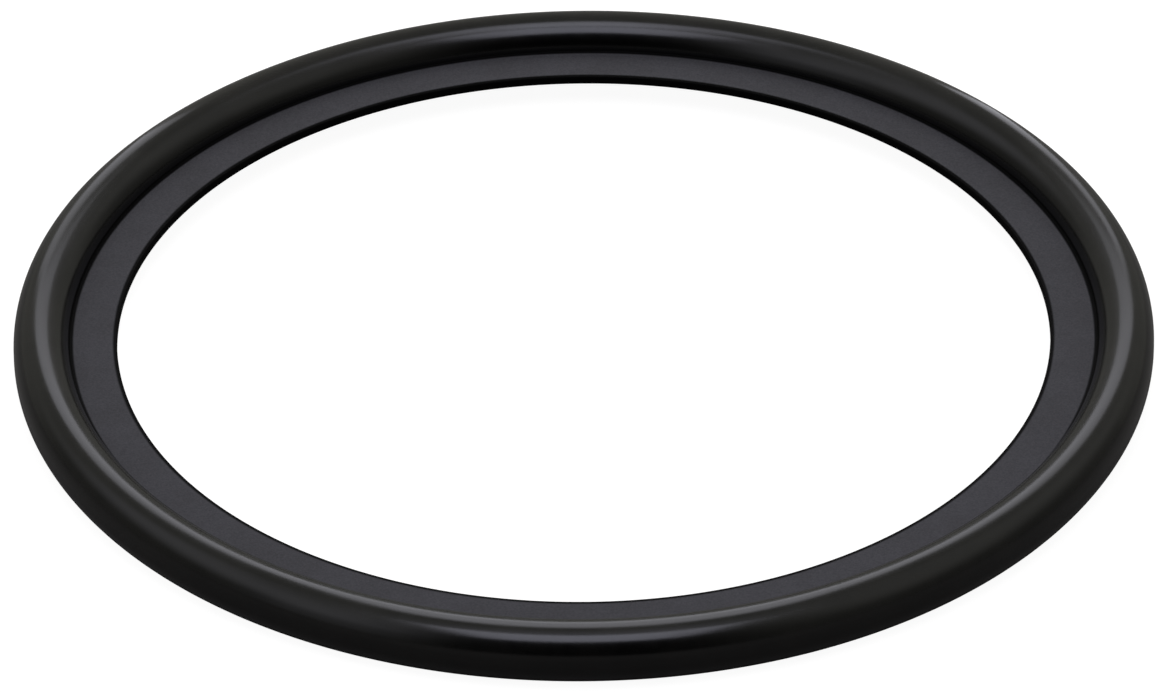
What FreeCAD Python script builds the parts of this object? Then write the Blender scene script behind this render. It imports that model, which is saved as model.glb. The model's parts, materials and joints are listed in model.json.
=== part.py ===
"""Oil cooler seal: one moulded rubber ring, a round bead round the outside of a thin flat web.

The ring is one closed section, drawn in the X-Z plane and revolved round Z. The origin is the ring's
centre, midway through the web. Z is the ring's axis, and the seal is the same above and below the web.
"""

import FreeCAD
import Part

import math
import os

# Driving dimensions, in millimetres
outside_diameter = 77.0  # over the parting land of the bead
bead_width = 3.77  # the round bead, measured along a radius
land_height = 0.4  # the short upright land where the mould halves meet
web_width = 3.23  # from the bead's inner side to the wall of the hole
web_thickness = 0.6
web_fillet = 0.12  # between the web and the bead, on both faces
hole_edge_break = 0.08  # the small chamfer on both edges of the hole

# Worked out from them
outside_radius = outside_diameter / 2
land_top = land_height / 2
crown_radius = bead_width / 2
crown_centre_radius = outside_radius - crown_radius
hole_radius = outside_radius - bead_width - web_width
web_top = web_thickness / 2
hole_wall_top = web_top - hole_edge_break

ring_centre = FreeCAD.Vector(0.0, 0.0, 0.0)
ring_axis = FreeCAD.Vector(0.0, 0.0, 1.0)


def section_point(radius, height):
    """A point of the section, at a distance from the ring's axis and a height over the web's middle."""
    return FreeCAD.Vector(radius, 0.0, height)


def straight(start, end):
    """A straight edge of the section."""
    return Part.LineSegment(start, end).toShape()


def arc(start, middle, end):
    """A circular edge of the section through three points."""
    return Part.Arc(start, middle, end).toShape()


def towards(start, end, distance):
    """The point that lies at a distance from start, on the way to end."""
    way = end - start
    return start + way * (distance / way.Length)


def fillet_centre():
    """The point that lies one fillet radius from both the web's face and the bead's crown."""
    height = web_top + web_fillet
    rise = height - land_top
    reach = math.sqrt((crown_radius + web_fillet) ** 2 - rise**2)
    return section_point(crown_centre_radius - reach, height)


def upper_edges():
    """The section's outline above the web's middle, from the hole outwards, without the upright walls."""
    wall_end = section_point(hole_radius, hole_wall_top)
    face_start = section_point(hole_radius + hole_edge_break, web_top)
    centre = fillet_centre()
    face_end = section_point(centre.x, web_top)

    crown_centre = section_point(crown_centre_radius, land_top)
    crown_peak = section_point(crown_centre_radius, land_top + crown_radius)
    land_end = section_point(outside_radius, land_top)
    contact = towards(crown_centre, centre, crown_radius)
    fillet_middle = towards(centre, (face_end + contact) * 0.5, web_fillet)

    hole_chamfer = straight(wall_end, face_start)
    web_face = straight(face_start, face_end)
    fillet = arc(face_end, fillet_middle, contact)
    crown = arc(contact, crown_peak, land_end)
    return [hole_chamfer, web_face, fillet, crown]


def section():
    """The closed section: the upper outline, its mirror image, and the two upright walls between them."""
    upper = upper_edges()
    lower = [edge.mirror(ring_centre, ring_axis) for edge in upper]

    hole_wall = straight(section_point(hole_radius, -hole_wall_top), section_point(hole_radius, hole_wall_top))
    land = straight(section_point(outside_radius, -land_top), section_point(outside_radius, land_top))

    outline = Part.__sortEdges__(upper + lower + [hole_wall, land])
    return Part.Face(Part.Wire(outline))


def seal_ring():
    """The whole seal: the section turned once round the ring's axis."""
    ring = section().revolve(ring_centre, ring_axis, 360.0)
    return ring if ring.Volume > 0 else ring.reversed()


def write_part(name, shape):
    """Check that the shape is one sound solid, and write it to parts/NAME.step."""
    if not shape.isValid() or len(shape.Solids) != 1:
        raise RuntimeError(name + " isn't one sound solid")
    shape.Solids[0].exportStep(os.path.join("parts", name + ".step"))
    box = shape.optimalBoundingBox(False, False)
    print(name, "box", round(box.XLength, 3), round(box.YLength, 3), round(box.ZLength, 3))
    print(name, "volume", round(shape.Volume, 2))


os.makedirs("parts", exist_ok=True)
write_part("seal_ring", seal_ring())
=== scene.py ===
"""Oil cooler seal: the finished look of the moulded rubber ring, with its floor, lights and camera.

The ring is one closed section that a Geometry Nodes tree sweeps once round a circle. Lengths are in
metres, the ring's axis is Z, and the camera looks from the -Y side.
"""

import json
import math

import bmesh
import bpy
from bpy.props import FloatProperty, FloatVectorProperty, IntProperty, PointerProperty
from mathutils import Matrix, Quaternion, Vector


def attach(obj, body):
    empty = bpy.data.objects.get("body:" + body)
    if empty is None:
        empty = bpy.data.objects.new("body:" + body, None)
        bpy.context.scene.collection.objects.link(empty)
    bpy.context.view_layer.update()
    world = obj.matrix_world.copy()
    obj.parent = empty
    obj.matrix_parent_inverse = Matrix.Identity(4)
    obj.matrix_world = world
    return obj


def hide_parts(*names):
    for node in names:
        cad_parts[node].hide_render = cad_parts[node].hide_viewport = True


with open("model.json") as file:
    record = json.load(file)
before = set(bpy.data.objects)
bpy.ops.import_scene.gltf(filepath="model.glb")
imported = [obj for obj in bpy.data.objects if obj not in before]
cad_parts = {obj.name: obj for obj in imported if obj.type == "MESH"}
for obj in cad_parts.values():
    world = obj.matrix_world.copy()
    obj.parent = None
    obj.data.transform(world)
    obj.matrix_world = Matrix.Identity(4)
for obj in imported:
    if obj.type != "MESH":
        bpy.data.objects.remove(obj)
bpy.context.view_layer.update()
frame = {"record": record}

bl_info = {
    "name": "Oil Cooler Seal",
    "version": (1, 0, 0),
    "blender": (4, 5, 0),
    "location": "3D View > Sidebar > Seal",
    "description": "Makes a moulded rubber sealing ring, and a plain studio to show it in",
    "category": "Object",
}

MM = 0.001

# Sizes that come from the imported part
MOUNTS = {mount["name"]: mount for mount in frame["record"]["mounts"]}
OUTSIDE_RADIUS = MOUNTS["outside"]["dims"]["r_mm"] * MM
HOLE_RADIUS = MOUNTS["hole"]["dims"]["r_mm"] * MM
LAND_HEIGHT = MOUNTS["outside"]["dims"]["length_mm"] * MM
WEB_TOP = MOUNTS["web_top"]["pos_m"][2]
CROWN_CENTRE_RADIUS = MOUNTS["bead_top"]["pos_m"][0]
CROWN_RADIUS = OUTSIDE_RADIUS - CROWN_CENTRE_RADIUS
RING_TOP = MOUNTS["bead_top"]["pos_m"][2]

# The photograph's size and the ring's place in it, in pixels
PHOTO_WIDTH = 1160
PHOTO_HEIGHT = 693
RING_CENTRE_PIXEL = (583.7, 335.9)

SENSOR_WIDTH = 36.0  # millimetres
FLOOR_HALF_WIDTH = 3.0
WELD_DISTANCE = 0.001 * MM
WAVE_TO_GRAIN = 25.0  # how much wider the mould's broad waves are than the finest grain

WHITE = (1.0, 1.0, 1.0)
WARM = (1.03, 1.02, 0.93)
COOL = (0.95, 0.95, 1.1)
PANEL_TINT = (0.97, 0.97, 1.07)
SOFTBOX_TINT = (0.94, 0.95, 1.11)

TOWARDS_CAMERA = Vector((0.0, -1.0, 0.0))
DOWN = Vector((0.0, 0.0, -1.0))

# The whole angle that each lamp's grid lets through, in degrees
PANEL_GRID = 116.0
HIGH_GRID = 64.0
TOP_GRID = 60.0
NO_GRID = 180.0

# Places, widths and heights of the lamps
HIGH_PANEL_PLACE = Vector((0.001, 0.0405, 0.0906))
HIGH_PANEL_SIZE = (0.054, 0.040)
TOP_PANEL_PLACE = Vector((0.0, 0.0435, 0.082))
TOP_PANEL_SIZE = (0.014, 0.035)
SOFTBOX_PLACE = Vector((-0.01, -0.40, 1.0))
SOFTBOX_SIZE = (0.60, 0.55)
KEY_PLACE = Vector((0.0, 0.131, 0.061))
KEY_SIZE = (0.120, 0.060)

# The upright panels behind the ring: their names, places, widths and heights, their tilts in
# degrees, and the share that each takes of their common brightness
UPRIGHT_PANELS = (
    ("back_panel", (0.001, 0.040, 0.048), (0.102, 0.036), 0.0, 1.0),
    ("left_panel", (-0.0375, 0.040, 0.0270), (0.025, 0.006), 0.0, 0.8),
    ("right_panel", (0.0385, 0.040, 0.0270), (0.027, 0.006), 0.0, 0.8),
    ("left_low_panel", (-0.0395, 0.040, 0.0135), (0.022, 0.012), 36.0, 0.5),
    ("right_low_panel", (0.0380, 0.040, 0.0113), (0.025, 0.008), -42.4, 0.65),
)


# Values that a user can change


def length(name, description, default):
    """A length that a user can change."""
    return FloatProperty(
        name=name, description=description, default=default, min=0.0, precision=5, unit="LENGTH"
    )


def angle(name, description, default):
    """An angle that a user can change, given in degrees and kept in radians."""
    return FloatProperty(
        name=name, description=description, default=math.radians(default), unit="ROTATION"
    )


def share(name, description, default):
    """A plain number from 0 to 1 that a user can change."""
    return FloatProperty(
        name=name, description=description, default=default, min=0.0, max=1.0, subtype="FACTOR"
    )


def colour(name, description, default):
    """A colour that a user can change."""
    return FloatVectorProperty(
        name=name,
        description=description,
        default=default,
        size=3,
        min=0.0,
        soft_max=1.0,
        subtype="COLOR",
    )


def brightness(name, description, default):
    """A brightness that a user can change, where 1 is white."""
    return FloatProperty(name=name, description=description, default=default, min=0.0, precision=3)


def count(name, description, default, least):
    """A number of points or divisions that a user can change."""
    return IntProperty(name=name, description=description, default=default, min=least)


class SealSizes(bpy.types.PropertyGroup):
    """Sizes of the ring's section, and how finely it is divided."""

    outside_radius: length("Outside radius", "From the axis to the parting land", OUTSIDE_RADIUS)
    hole_radius: length("Hole radius", "From the axis to the wall of the hole", HOLE_RADIUS)
    crown_radius: length("Crown radius", "Radius of the round bead", CROWN_RADIUS)
    land_height: length("Land height", "Upright land where the mould halves meet", LAND_HEIGHT)
    web_thickness: length("Web thickness", "Thickness of the flat web", 2 * WEB_TOP)
    web_fillet: length("Web fillet", "Hollow fillet between the web and the bead", 0.12 * MM)
    hole_rounding: length("Hole rounding", "Rounding of both edges of the hole", 0.08 * MM)
    around: count("Around", "Divisions round the ring", 480, 32)
    crown_points: count("Crown points", "Points on each crown", 52, 8)
    fillet_points: count("Fillet points", "Points on each fillet", 14, 4)
    web_points: count("Web points", "Points across each face of the web", 10, 2)


class RubberFinish(bpy.types.PropertyGroup):
    """Colours and surface of the rubber."""

    rubber_colour: colour("Rubber", "Colour of the black rubber on the bead", (0.003, 0.003, 0.003))
    web_colour: colour("Web", "Colour of the dull rubber on the web", (0.0645, 0.0636, 0.0700))
    # Painted shade: the colour of the darkened bands round the hole's edge and along the crease
    # where web and bead meet
    painted_shade_colour: colour(
        "Dark lines", "Colour of the hole's trimmed edge and of the joint", (0.002, 0.002, 0.002)
    )
    bloom_colour: colour(
        "Bloom", "Colour of the faint film that comes out of the rubber", (0.03, 0.028, 0.024)
    )
    bloom: share("Bloom amount", "How much of the film lies on the surface", 0.12)
    bead_roughness: share("Bead roughness", "Roughness of the polished bead", 0.2)
    bead_gloss: share("Bead gloss", "How strongly the bead shines; 0.5 is plain rubber", 0.5)
    web_roughness: share("Web roughness", "Roughness of the matt web", 0.65)
    web_gloss: share("Web gloss", "How strongly the web shines; 0.5 is plain rubber", 0.05)
    grain_size: length("Grain size", "Size of the finest grain", 0.12 * MM)
    bead_grain: length("Bead grain depth", "Depth of the grain on the bead", 0.0014 * MM)
    web_grain: length("Web grain depth", "Depth of the grain on the web", 0.0015 * MM)
    grain_tone: share("Grain tone", "How much the grain lightens and darkens the colour", 0.8)
    # Painted shade in the crease where web and bead meet: the width of its dark line
    joint_shade_width: length("Joint width", "Width of the dark line where web and bead meet", 0.34 * MM)
    # Painted shade round the hole's edge: the width of its dark band
    edge_width: length("Trimmed edge width", "Width of the hole's darker trimmed edge", 0.38 * MM)


class StudioSettings(bpy.types.PropertyGroup):
    """The camera, the floor and the lights."""

    elevation: angle("Camera elevation", "Height of the camera over the horizon", 34.2)
    roll: angle("Camera roll", "Turn of the picture about its centre", -0.6)
    distance: length("Camera distance", "From the camera to the ring's centre", 1.0)
    scale: FloatProperty(
        name="Picture scale",
        description="Pixels for each millimetre at the ring's centre",
        default=14.805,
    )
    panel_brightness: brightness("Back panels", "Gridded panels that stand behind the ring", 0.95)
    high_brightness: brightness("High panel", "Gridded panel turned to the front of the bead", 0.22)
    top_brightness: brightness("Top panel", "Gridded panel over the back of the ring", 0.3)
    key_brightness: brightness("Key", "Soft lamp behind the ring that lights the dull web", 5.1)
    softbox_brightness: brightness("Overhead softbox", "Softbox high over the ring", 2.6)
    floor_white: share("Floor white", "How white the camera sees the unshaded floor", 0.94)
    floor_colour: colour("Floor colour", "Colour of the floor in its shading", (0.22, 0.214, 0.202))


# Nodes


def feed(tree, socket, value):
    """Gives an input socket a plain value, or links another node's output to it."""
    if isinstance(value, bpy.types.NodeSocket):
        tree.links.new(value, socket)
    else:
        socket.default_value = value


def add_node(tree, kind, inputs=None, **settings):
    """A node with its settings, and its inputs given as plain values or as other nodes' outputs."""
    node = tree.nodes.new(kind)
    for name, value in settings.items():
        setattr(node, name, value)
    for key, value in (inputs or {}).items():
        feed(tree, node.inputs[key], value)
    return node


def maths(tree, operation, *values):
    """The output of one Math node."""
    return add_node(tree, "ShaderNodeMath", dict(enumerate(values)), operation=operation).outputs[0]


def vector_maths(tree, operation, *values):
    """The vector output of one Vector Math node."""
    inputs = dict(enumerate(values))
    return add_node(tree, "ShaderNodeVectorMath", inputs, operation=operation).outputs[0]


def scaled(tree, vector, factor):
    """A vector or a colour times a number."""
    inputs = {0: vector, "Scale": factor}
    return add_node(tree, "ShaderNodeVectorMath", inputs, operation="SCALE").outputs[0]


def distance_from_axis(tree, place):
    """How far a place lies from the ring's axis."""
    flat = vector_maths(tree, "MULTIPLY", place, (1.0, 1.0, 0.0))
    return add_node(tree, "ShaderNodeVectorMath", {0: flat}, operation="LENGTH").outputs["Value"]


def soft_step(tree, value, low, high, at_low=0.0, at_high=1.0):
    """A smooth step, which is at_low up to the low value and at_high from the high value on."""
    return add_node(
        tree,
        "ShaderNodeMapRange",
        {"Value": value, "From Min": low, "From Max": high, "To Min": at_low, "To Max": at_high},
        interpolation_type="SMOOTHSTEP",
    ).outputs[0]


def noise(tree, place, scale, detail, roughness=0.5):
    """The grey output of one Noise Texture node."""
    inputs = {"Vector": place, "Scale": scale, "Detail": detail, "Roughness": roughness}
    return add_node(tree, "ShaderNodeTexNoise", inputs).outputs["Fac"]


def mix_colour(tree, factor, first, second):
    """The colour output of a Mix node for colours."""
    node = add_node(tree, "ShaderNodeMix", data_type="RGBA")
    first_socket, second_socket = (socket for socket in node.inputs if socket.type == "RGBA")
    feed(tree, node.inputs["Factor"], factor)
    feed(tree, first_socket, first)
    feed(tree, second_socket, second)
    return next(socket for socket in node.outputs if socket.type == "RGBA")


def blank_group(name, kind, inputs, outputs):
    """A node group, with the sockets that give its inputs and the ones that take its results."""
    group = bpy.data.node_groups.new(name, kind)
    for socket_name, socket_type, default in inputs:
        socket = group.interface.new_socket(socket_name, in_out="INPUT", socket_type=socket_type)
        if default is not None:
            socket.default_value = default
    for socket_name, socket_type in outputs:
        group.interface.new_socket(socket_name, in_out="OUTPUT", socket_type=socket_type)
    given = group.nodes.new("NodeGroupInput").outputs
    result = group.nodes.new("NodeGroupOutput").inputs
    return group, given, result


def place_group(tree, group, inputs):
    """A shader node that stands for a group, with its inputs set."""
    return add_node(tree, "ShaderNodeGroup", inputs, node_tree=group)


def blank_shading(owner, output_kind):
    """Clears the nodes of a material or a world. Gives its tree and the socket for its shader."""
    owner.use_nodes = True
    tree = owner.node_tree
    tree.nodes.clear()
    return tree, tree.nodes.new(output_kind).inputs["Surface"]


def with_alpha(rgb):
    """A colour with its alpha."""
    return (*rgb, 1.0)


# The ring's shape


def arc_piece(tree, points, radius, start, sweep, centre):
    """A circular stretch of the section, swept about its own centre."""
    arc = add_node(
        tree,
        "GeometryNodeCurveArc",
        {"Resolution": points, "Radius": radius, "Start Angle": start, "Sweep Angle": sweep},
        mode="RADIUS",
    )
    offset = add_node(tree, "ShaderNodeCombineXYZ", {"X": centre[0], "Y": centre[1]})
    return add_node(
        tree,
        "GeometryNodeTransform",
        {"Geometry": arc.outputs["Curve"], "Translation": offset.outputs[0]},
    ).outputs[0]


def line_piece(tree, start, end, points=2):
    """A straight stretch of the section, with its points evenly spaced."""
    ends = [
        add_node(tree, "ShaderNodeCombineXYZ", {"X": x, "Y": y}).outputs[0] for x, y in (start, end)
    ]
    line = add_node(
        tree, "GeometryNodeCurvePrimitiveLine", {"Start": ends[0], "End": ends[1]}, mode="POINTS"
    )
    return add_node(
        tree, "GeometryNodeResampleCurve", {"Curve": line.outputs[0], "Count": points}, mode="COUNT"
    ).outputs[0]


def upper_section(tree, given):
    """The section's outline above the web's middle, as curves.

    X runs outwards from the circle of the crown's centres, and Y is the height. Also gives that
    circle's radius, and the radius at which the fillet meets the crown.
    """
    crown = given["Crown Radius"]
    fillet = given["Web Fillet"]
    rounding = given["Hole Rounding"]
    circle_radius = maths(tree, "SUBTRACT", given["Outside Radius"], crown)
    land_top = maths(tree, "MULTIPLY", given["Land Height"], 0.5)
    web_top = maths(tree, "MULTIPLY", given["Web Thickness"], 0.5)
    wall_x = maths(tree, "SUBTRACT", given["Hole Radius"], circle_radius)

    # The fillet is tangent to the web's top and, from outside, to the crown's circle
    fillet_y = maths(tree, "ADD", web_top, fillet)
    rise = maths(tree, "SUBTRACT", fillet_y, land_top)
    centres_apart = maths(tree, "ADD", crown, fillet)
    reach_squared = maths(
        tree,
        "SUBTRACT",
        maths(tree, "MULTIPLY", centres_apart, centres_apart),
        maths(tree, "MULTIPLY", rise, rise),
    )
    reach = maths(tree, "SQRT", reach_squared)
    fillet_x = maths(tree, "MULTIPLY", reach, -1.0)
    contact = maths(tree, "ARCTAN2", rise, reach)
    contact_x = maths(tree, "MULTIPLY", reach, maths(tree, "DIVIDE", crown, centres_apart))

    round_x = maths(tree, "ADD", wall_x, rounding)
    round_y = maths(tree, "SUBTRACT", web_top, rounding)
    quarter = math.radians(90)
    half = math.radians(180)
    fillet_sweep = maths(tree, "SUBTRACT", quarter, contact)
    crown_start = maths(tree, "SUBTRACT", half, contact)
    crown_sweep = maths(tree, "SUBTRACT", contact, half)
    fillet_points = given["Fillet Points"]
    pieces = [
        line_piece(tree, (wall_x, 0.0), (wall_x, round_y)),
        arc_piece(tree, fillet_points, rounding, half, -quarter, (round_x, round_y)),
        line_piece(tree, (round_x, web_top), (fillet_x, web_top), given["Web Points"]),
        arc_piece(tree, fillet_points, fillet, -quarter, fillet_sweep, (fillet_x, fillet_y)),
        arc_piece(tree, given["Crown Points"], crown, crown_start, crown_sweep, (0.0, land_top)),
        line_piece(tree, (crown, land_top), (crown, 0.0)),
    ]
    join = tree.nodes.new("GeometryNodeJoinGeometry")
    for piece in reversed(pieces):
        tree.links.new(piece, join.inputs[0])
    web_end = maths(tree, "SUBTRACT", circle_radius, contact_x)
    return join.outputs[0], circle_radius, web_end


def ring_tree():
    """The Geometry Nodes tree that sweeps the section round a circle and sets its two finishes."""
    lengths = (
        "Outside Radius",
        "Hole Radius",
        "Crown Radius",
        "Land Height",
        "Web Thickness",
        "Web Fillet",
        "Hole Rounding",
    )
    counts = ("Around", "Crown Points", "Fillet Points", "Web Points")
    finishes = ("Bead Rubber", "Web Rubber")
    tree, given, result = blank_group(
        "swept_seal_ring",
        "GeometryNodeTree",
        [(name, "NodeSocketFloat", None) for name in lengths]
        + [(name, "NodeSocketInt", None) for name in counts]
        + [(name, "NodeSocketMaterial", None) for name in finishes],
        [("Geometry", "NodeSocketGeometry")],
    )
    upper, circle_radius, web_end = upper_section(tree, given)
    lower = add_node(tree, "GeometryNodeTransform", {"Geometry": upper, "Scale": (1.0, -1.0, 1.0)})
    section = tree.nodes.new("GeometryNodeJoinGeometry")
    tree.links.new(lower.outputs[0], section.inputs[0])
    tree.links.new(upper, section.inputs[0])

    circle = add_node(
        tree,
        "GeometryNodeCurvePrimitiveCircle",
        {"Resolution": given["Around"], "Radius": circle_radius},
    )
    upright = add_node(
        tree, "GeometryNodeSetCurveNormal", {"Curve": circle.outputs["Curve"]}, mode="Z_UP"
    )
    swept = add_node(
        tree,
        "GeometryNodeCurveToMesh",
        {"Curve": upright.outputs[0], "Profile Curve": section.outputs[0]},
    )
    closed = add_node(
        tree,
        "GeometryNodeMergeByDistance",
        {"Geometry": swept.outputs[0], "Distance": WELD_DISTANCE},
    )
    smooth = add_node(tree, "GeometryNodeSetShadeSmooth", {"Geometry": closed.outputs[0]})
    real = add_node(tree, "GeometryNodeRealizeInstances", {"Geometry": smooth.outputs[0]})

    place = tree.nodes.new("GeometryNodeInputPosition").outputs[0]
    on_web = maths(tree, "LESS_THAN", distance_from_axis(tree, place), web_end)
    bead = add_node(
        tree,
        "GeometryNodeSetMaterial",
        {"Geometry": real.outputs[0], "Material": given["Bead Rubber"]},
    )
    web = add_node(
        tree,
        "GeometryNodeSetMaterial",
        {"Geometry": bead.outputs[0], "Selection": on_web, "Material": given["Web Rubber"]},
    )
    tree.links.new(web.outputs[0], result["Geometry"])
    return tree


def set_tree_inputs(modifier, values):
    """Sets a Geometry Nodes modifier's inputs, found by their names."""
    for item in modifier.node_group.interface.items_tree:
        if item.name in values:
            modifier[item.identifier] = values[item.name]


def plain_mesh(carrier):
    """Makes what a carrier's modifiers give its own mesh, with every face pointing outwards."""
    graph = bpy.context.evaluated_depsgraph_get()
    mesh = bpy.data.meshes.new_from_object(carrier.evaluated_get(graph))
    carrier.modifiers.clear()
    carrier.data = mesh
    shell = bmesh.new()
    shell.from_mesh(mesh)
    bmesh.ops.recalc_face_normals(shell, faces=shell.faces)
    open_edges = sum(1 for edge in shell.edges if not edge.is_manifold)
    shell.to_mesh(mesh)
    shell.free()
    if open_edges:
        raise RuntimeError(f"{carrier.name} has {open_edges} open edges")


# The rubber's finishes


def grain_group():
    """A shader group: the fine grain that the mould leaves, as a height and as a grey tone."""
    group, given, result = blank_group(
        "rubber_grain",
        "ShaderNodeTree",
        [
            ("Vector", "NodeSocketVector", None),
            ("Grain Size", "NodeSocketFloat", 0.1 * MM),
            ("Depth", "NodeSocketFloat", 0.001 * MM),
            ("Waviness", "NodeSocketFloat", 0.5),
        ],
        [("Height", "NodeSocketFloat"), ("Tone", "NodeSocketFloat")],
    )
    fine_scale = maths(group, "DIVIDE", 1.0, given["Grain Size"])
    wave_scale = maths(group, "DIVIDE", fine_scale, WAVE_TO_GRAIN)
    fine = noise(group, given["Vector"], fine_scale, detail=2.0, roughness=0.6)
    broad = noise(group, given["Vector"], wave_scale, detail=1.0)
    waves = maths(group, "MULTIPLY", broad, given["Waviness"])
    height = maths(group, "MULTIPLY", maths(group, "ADD", fine, waves), given["Depth"])
    group.links.new(height, result["Height"])
    group.links.new(fine, result["Tone"])
    return group


def bloom_group():
    """A shader group: the faint greyish film on old black rubber, uneven in patches."""
    group, given, result = blank_group(
        "surface_bloom",
        "ShaderNodeTree",
        [
            ("Vector", "NodeSocketVector", None),
            ("Rubber Colour", "NodeSocketColor", (0.01, 0.01, 0.01, 1.0)),
            ("Bloom Colour", "NodeSocketColor", (0.03, 0.03, 0.03, 1.0)),
            ("Amount", "NodeSocketFloat", 0.2),
            ("Patch Size", "NodeSocketFloat", 4.0 * MM),
            ("Roughness", "NodeSocketFloat", 0.3),
            ("Film Roughness", "NodeSocketFloat", 0.25),
        ],
        [("Color", "NodeSocketColor"), ("Roughness", "NodeSocketFloat")],
    )
    scale = maths(group, "DIVIDE", 1.0, given["Patch Size"])
    cloud = noise(group, given["Vector"], scale, detail=5.0, roughness=0.65)
    patches = soft_step(group, cloud, low=0.35, high=0.65)
    film = maths(group, "MULTIPLY", patches, given["Amount"])
    mixed = mix_colour(group, film, given["Rubber Colour"], given["Bloom Colour"])
    rougher = maths(group, "MULTIPLY", film, given["Film Roughness"])
    group.links.new(mixed, result["Color"])
    group.links.new(maths(group, "ADD", given["Roughness"], rougher), result["Roughness"])
    return group


def ring_line_group():
    """A shader group: a line round the ring, full for half its width each way and then fading."""
    group, given, result = blank_group(
        "ring_line",
        "ShaderNodeTree",
        [
            ("Vector", "NodeSocketVector", None),
            ("Radius", "NodeSocketFloat", HOLE_RADIUS),
            ("Width", "NodeSocketFloat", 0.1 * MM),
        ],
        [("Mask", "NodeSocketFloat")],
    )
    radius = distance_from_axis(group, given["Vector"])
    distance = maths(group, "ABSOLUTE", maths(group, "SUBTRACT", radius, given["Radius"]))
    full_width = maths(group, "MULTIPLY", given["Width"], 0.5)
    mask = soft_step(group, distance, full_width, given["Width"], at_low=1.0, at_high=0.0)
    group.links.new(mask, result["Mask"])
    return group


def rubber_material(name, groups, finish, painted_shade_lines, base, roughness, gloss, grain_depth):
    """One finish of the black rubber. Each line of painted shade is given by its radius and its
    width.
    """
    material = bpy.data.materials.new(name)
    tree, surface = blank_shading(material, "ShaderNodeOutputMaterial")
    shader = add_node(
        tree, "ShaderNodeBsdfPrincipled", {"IOR": 1.5, "Metallic": 0.0, "Specular IOR Level": gloss}
    )
    tree.links.new(shader.outputs[0], surface)
    place = tree.nodes.new("ShaderNodeTexCoord").outputs["Object"]

    grain = place_group(
        tree,
        groups["grain"],
        {"Vector": place, "Grain Size": finish.grain_size, "Depth": grain_depth},
    )
    bump = add_node(
        tree,
        "ShaderNodeBump",
        {"Height": grain.outputs["Height"], "Distance": 1.0, "Strength": 1.0},
    )
    tree.links.new(bump.outputs[0], shader.inputs["Normal"])
    darkest = 1 - finish.grain_tone / 2
    tone = maths(tree, "MULTIPLY_ADD", grain.outputs["Tone"], finish.grain_tone, darkest)

    bloom = place_group(
        tree,
        groups["bloom"],
        {
            "Vector": place,
            "Rubber Colour": scaled(tree, base, tone),
            "Bloom Colour": with_alpha(finish.bloom_colour),
            "Amount": finish.bloom,
            "Roughness": roughness,
        },
    )
    tree.links.new(bloom.outputs["Roughness"], shader.inputs["Roughness"])

    seen_colour = bloom.outputs["Color"]
    # Painted shade: bands round the hole's edge and along the crease of web and bead are darkened
    # in the base colour, where shade falls
    dark = with_alpha(finish.painted_shade_colour)
    for radius, width in painted_shade_lines:
        where = {"Vector": place, "Radius": radius, "Width": width}
        line = place_group(tree, groups["line"], where)
        seen_colour = mix_colour(tree, line.outputs["Mask"], seen_colour, dark)
    tree.links.new(seen_colour, shader.inputs["Base Color"])
    return material


class SEAL_OT_ring(bpy.types.Operator):
    """Make the rubber ring: the bead, the web and their finishes"""

    bl_idname = "seal.ring"
    bl_label = "Seal Ring"

    def execute(self, context):
        sizes = context.scene.seal_sizes
        finish = context.scene.seal_finish
        groups = {"grain": grain_group(), "bloom": bloom_group(), "line": ring_line_group()}
        # Radii and widths of the painted shade: round the hole's edge, and in the crease where the
        # web meets the bead
        painted_shade_lines = (
            (sizes.hole_radius, finish.edge_width),
            (sizes.outside_radius - 2 * sizes.crown_radius, finish.joint_shade_width),
        )
        bead = rubber_material(
            "bead_rubber",
            groups,
            finish,
            painted_shade_lines,
            base=finish.rubber_colour,
            roughness=finish.bead_roughness,
            gloss=finish.bead_gloss,
            grain_depth=finish.bead_grain,
        )
        web = rubber_material(
            "web_rubber",
            groups,
            finish,
            painted_shade_lines,
            base=finish.web_colour,
            roughness=finish.web_roughness,
            gloss=finish.web_gloss,
            grain_depth=finish.web_grain,
        )

        ring = bpy.data.objects.new("moulded_ring", bpy.data.meshes.new("moulded_ring"))
        context.scene.collection.objects.link(ring)
        modifier = ring.modifiers.new("swept section", "NODES")
        modifier.node_group = ring_tree()
        set_tree_inputs(
            modifier,
            {
                "Outside Radius": sizes.outside_radius,
                "Hole Radius": sizes.hole_radius,
                "Crown Radius": sizes.crown_radius,
                "Land Height": sizes.land_height,
                "Web Thickness": sizes.web_thickness,
                "Web Fillet": sizes.web_fillet,
                "Hole Rounding": sizes.hole_rounding,
                "Around": sizes.around,
                "Crown Points": sizes.crown_points,
                "Fillet Points": sizes.fillet_points,
                "Web Points": sizes.web_points,
                "Bead Rubber": bead,
                "Web Rubber": web,
            },
        )
        plain_mesh(ring)
        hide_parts("seal_ring")
        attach(ring, "root")
        return {"FINISHED"}


# The floor, the surroundings, the lamps and the camera


def seen_directly(tree):
    """1 for the camera's own rays and for those that pass through something clear, otherwise 0."""
    path = tree.nodes.new("ShaderNodeLightPath").outputs
    return maths(tree, "MAXIMUM", path["Is Camera Ray"], path["Is Transmission Ray"])


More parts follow.
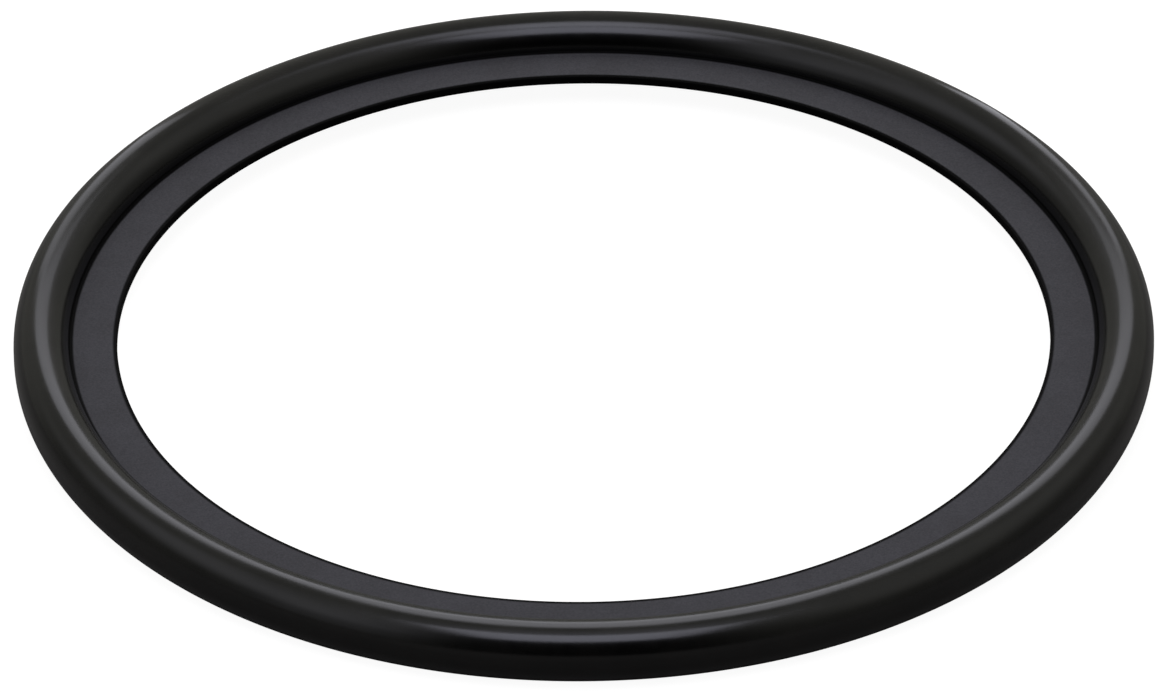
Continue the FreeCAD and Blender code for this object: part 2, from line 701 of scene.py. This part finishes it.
def add_floor(studio):
    """A plain floor under the ring. The camera sees it white, with the ring's shading kept."""
    half = FLOOR_HALF_WIDTH
    outline = ((-half, -half), (half, -half), (half, half), (-half, half))
    corners = [(x, y, -RING_TOP) for x, y in outline]
    mesh = bpy.data.meshes.new("floor")
    mesh.from_pydata(corners, [], [(0, 1, 2, 3)])
    floor = bpy.data.objects.new("floor", mesh)
    bpy.context.scene.collection.objects.link(floor)

    material = bpy.data.materials.new("floor_paper")
    tree, surface = blank_shading(material, "ShaderNodeOutputMaterial")
    shading = add_node(tree, "ShaderNodeBsdfDiffuse", {"Color": with_alpha(studio.floor_colour)})
    strength = maths(tree, "MULTIPLY", seen_directly(tree), studio.floor_white)
    white = add_node(tree, "ShaderNodeEmission", {"Color": with_alpha(WHITE), "Strength": strength})
    both = add_node(tree, "ShaderNodeAddShader", {0: shading.outputs[0], 1: white.outputs[0]})
    tree.links.new(both.outputs[0], surface)
    mesh.materials.append(material)


def soft_patch_group():
    """A shader group: a soft-edged patch of the surroundings, given by directions in degrees."""
    group, given, result = blank_group(
        "soft_patch",
        "ShaderNodeTree",
        [
            ("Direction", "NodeSocketVector", None),
            ("Azimuth", "NodeSocketFloat", 0.0),
            ("Half Width", "NodeSocketFloat", 30.0),
            ("Side Softness", "NodeSocketFloat", 10.0),
            ("Bottom", "NodeSocketFloat", 0.0),
            ("Top", "NodeSocketFloat", 90.0),
            ("End Softness", "NodeSocketFloat", 10.0),
            ("Colour", "NodeSocketColor", (1.0, 1.0, 1.0, 1.0)),
            ("Brightness", "NodeSocketFloat", 1.0),
        ],
        [("Color", "NodeSocketColor")],
    )
    turned = add_node(
        group,
        "ShaderNodeVectorRotate",
        {"Vector": given["Direction"], "Angle": maths(group, "RADIANS", given["Azimuth"])},
        rotation_type="Z_AXIS",
    )
    parts = add_node(group, "ShaderNodeSeparateXYZ", {"Vector": turned.outputs[0]}).outputs
    azimuth = maths(group, "DEGREES", maths(group, "ARCTAN2", parts["X"], parts["Y"]))
    height = maths(group, "DEGREES", maths(group, "ARCSINE", parts["Z"]))
    strength = given["Brightness"]
    for value, limit, softness, inwards in (
        (maths(group, "ABSOLUTE", azimuth), given["Half Width"], given["Side Softness"], -1.0),
        (height, given["Top"], given["End Softness"], -1.0),
        (height, given["Bottom"], given["End Softness"], 1.0),
    ):
        inside = maths(group, "MULTIPLY", maths(group, "SUBTRACT", value, limit), inwards)
        mask = soft_step(group, maths(group, "DIVIDE", inside, softness), low=-0.5, high=0.5)
        strength = maths(group, "MULTIPLY", strength, mask)
    group.links.new(scaled(group, given["Colour"], strength), result["Color"])
    return group


def patch(azimuth, half_width, side_softness, bottom, top, end_softness, level, tint):
    """One soft patch of the surroundings, in degrees. Azimuth 0 is behind the ring."""
    return {
        "Azimuth": azimuth,
        "Half Width": half_width,
        "Side Softness": side_softness,
        "Bottom": bottom,
        "Top": top,
        "End Softness": end_softness,
        "Brightness": level,
        "Colour": with_alpha(tint),
    }


SURROUNDINGS = {
    "room_behind": patch(0.0, 150.0, 30.0, -91.0, 91.0, 1.0, 0.15, WARM),
    "low_behind": patch(0.0, 55.0, 20.0, -10.0, 30.0, 12.0, 0.12, WARM),
    "ceiling_behind": patch(0.0, 135.0, 40.0, 27.0, 91.0, 30.0, 0.17, WARM),
    "ceiling": patch(0.0, 181.0, 1.0, 80.0, 91.0, 24.0, 0.55, COOL),
    "left_wall": patch(-97.0, 42.0, 30.0, 28.0, 60.0, 28.0, 0.36, COOL),
    "left_front_wall": patch(-131.0, 14.0, 12.0, 4.0, 40.0, 14.0, 0.18, COOL),
    "right_wall": patch(85.0, 40.0, 30.0, 26.0, 66.0, 40.0, 0.16, WHITE),
}


def make_world():
    """Dim surroundings that light the ring softly. The camera sees them white."""
    world = bpy.data.worlds.new("studio")
    bpy.context.scene.world = world
    tree, surface = blank_shading(world, "ShaderNodeOutputWorld")
    direction = tree.nodes.new("ShaderNodeTexCoord").outputs["Generated"]
    soft_patch = soft_patch_group()
    total = (0.0, 0.0, 0.0)
    for name, values in SURROUNDINGS.items():
        part = place_group(tree, soft_patch, {"Direction": direction, **values})
        part.label = name
        total = vector_maths(tree, "ADD", total, part.outputs[0])
    shown = mix_colour(tree, seen_directly(tree), total, with_alpha(WHITE))
    background = add_node(tree, "ShaderNodeBackground", {"Color": shown, "Strength": 1.0})
    tree.links.new(background.outputs[0], surface)


def add_lamp(name, place, facing, size, grid, level, tint, tilt=0.0):
    """A rectangular lamp, with a grid that holds its light to the given whole angle in degrees.

    Its tilt, in degrees too, turns it about the way that it faces.
    """
    width, height = size
    data = bpy.data.lights.new(name, "AREA")
    data.shape = "RECTANGLE"
    data.size = width
    data.size_y = height
    data.spread = math.radians(grid)
    data.color = tint
    data.energy = level * math.pi * width * height
    lamp = bpy.data.objects.new(name, data)
    lamp.location = place
    lamp.rotation_mode = "QUATERNION"
    turn = Quaternion((0.0, 0.0, 1.0), math.radians(tilt))
    lamp.rotation_quaternion = (-facing).to_track_quat("Z", "Y") @ turn
    lamp.visible_camera = False
    bpy.context.scene.collection.objects.link(lamp)
    return lamp


def add_lamps(studio):
    """The gridded panels behind and over the ring, the softbox high over it, and the key lamp."""
    for name, place, size, tilt, part in UPRIGHT_PANELS:
        level = part * studio.panel_brightness
        add_lamp(name, place, TOWARDS_CAMERA, size, PANEL_GRID, level, PANEL_TINT, tilt)

    front_bead = Vector((0.0, -CROWN_CENTRE_RADIUS, RING_TOP))
    add_lamp(
        "high_panel",
        HIGH_PANEL_PLACE,
        front_bead - HIGH_PANEL_PLACE,
        HIGH_PANEL_SIZE,
        HIGH_GRID,
        studio.high_brightness,
        PANEL_TINT,
    )
    add_lamp(
        "top_panel",
        TOP_PANEL_PLACE,
        DOWN,
        TOP_PANEL_SIZE,
        TOP_GRID,
        studio.top_brightness,
        SOFTBOX_TINT,
    )
    add_lamp(
        "softbox",
        SOFTBOX_PLACE,
        DOWN,
        SOFTBOX_SIZE,
        NO_GRID,
        studio.softbox_brightness,
        SOFTBOX_TINT,
    )

    # The key lamp lights the dull web, and the glossy bead doesn't mirror it
    key = add_lamp(
        "key_from_behind", KEY_PLACE, -KEY_PLACE, KEY_SIZE, NO_GRID, studio.key_brightness, WHITE
    )
    key.visible_glossy = False


def add_camera(studio):
    """The camera, which sees the ring at the angle and the place that the photograph has."""
    back = Vector((0.0, -math.cos(studio.elevation), math.sin(studio.elevation)))
    right = Vector((1.0, 0.0, 0.0))
    up = back.cross(right)
    focal_pixels = studio.scale / MM * studio.distance

    # The roll turns the picture about its centre, so the ring's place in it is turned back first
    column, row = RING_CENTRE_PIXEL
    off_centre = Vector((column - PHOTO_WIDTH / 2, PHOTO_HEIGHT / 2 - row))
    unrolled = Matrix.Rotation(studio.roll, 2) @ off_centre
    aim = -(right * unrolled.x + up * unrolled.y) * studio.distance / focal_pixels
    place = back * studio.distance
    look = (place - aim).to_track_quat("Z", "Y").to_matrix()
    turned = look @ Matrix.Rotation(studio.roll, 3, "Z")

    data = bpy.data.cameras.new("camera")
    data.sensor_width = SENSOR_WIDTH
    data.lens = SENSOR_WIDTH * focal_pixels / PHOTO_WIDTH
    camera = bpy.data.objects.new("camera", data)
    camera.matrix_world = Matrix.Translation(place) @ turned.to_4x4()
    bpy.context.scene.collection.objects.link(camera)
    bpy.context.scene.camera = camera


class SEAL_OT_stage(bpy.types.Operator):
    """Make the floor, the lights and the camera"""

    bl_idname = "seal.stage"
    bl_label = "Studio Stage"

    def execute(self, context):
        studio = context.scene.seal_studio
        add_floor(studio)
        make_world()
        add_lamps(studio)
        add_camera(studio)
        context.scene.view_settings.view_transform = "Standard"
        return {"FINISHED"}


# The sidebar and the order of the work


class SEAL_PT_sidebar(bpy.types.Panel):
    """Lists the seal's sizes, its finish and the steps that make it"""

    bl_idname = "SEAL_PT_sidebar"
    bl_label = "Oil Cooler Seal"
    bl_space_type = "VIEW_3D"
    bl_region_type = "UI"
    bl_category = "Seal"

    def draw(self, context):
        layout = self.layout
        scene = context.scene
        for group in (scene.seal_sizes, scene.seal_finish, scene.seal_studio):
            box = layout.box()
            for name in group.bl_rna.properties.keys():
                if name not in ("rna_type", "name"):
                    box.prop(group, name)
        layout.operator(SEAL_OT_ring.bl_idname)
        layout.operator(SEAL_OT_stage.bl_idname)


CLASSES = (SealSizes, RubberFinish, StudioSettings, SEAL_OT_ring, SEAL_OT_stage, SEAL_PT_sidebar)


def register():
    """Registers the classes, and gives the scene the values that a user can change."""
    for each in CLASSES:
        bpy.utils.register_class(each)
    bpy.types.Scene.seal_sizes = PointerProperty(type=SealSizes)
    bpy.types.Scene.seal_finish = PointerProperty(type=RubberFinish)
    bpy.types.Scene.seal_studio = PointerProperty(type=StudioSettings)


def unregister():
    """Takes away what register has added."""
    del bpy.types.Scene.seal_studio
    del bpy.types.Scene.seal_finish
    del bpy.types.Scene.seal_sizes
    for each in reversed(CLASSES):
        bpy.utils.unregister_class(each)


def main():
    """Makes the ring and the stage."""
    register()
    bpy.ops.seal.ring()
    bpy.ops.seal.stage()


if __name__ == "__main__":
    main()
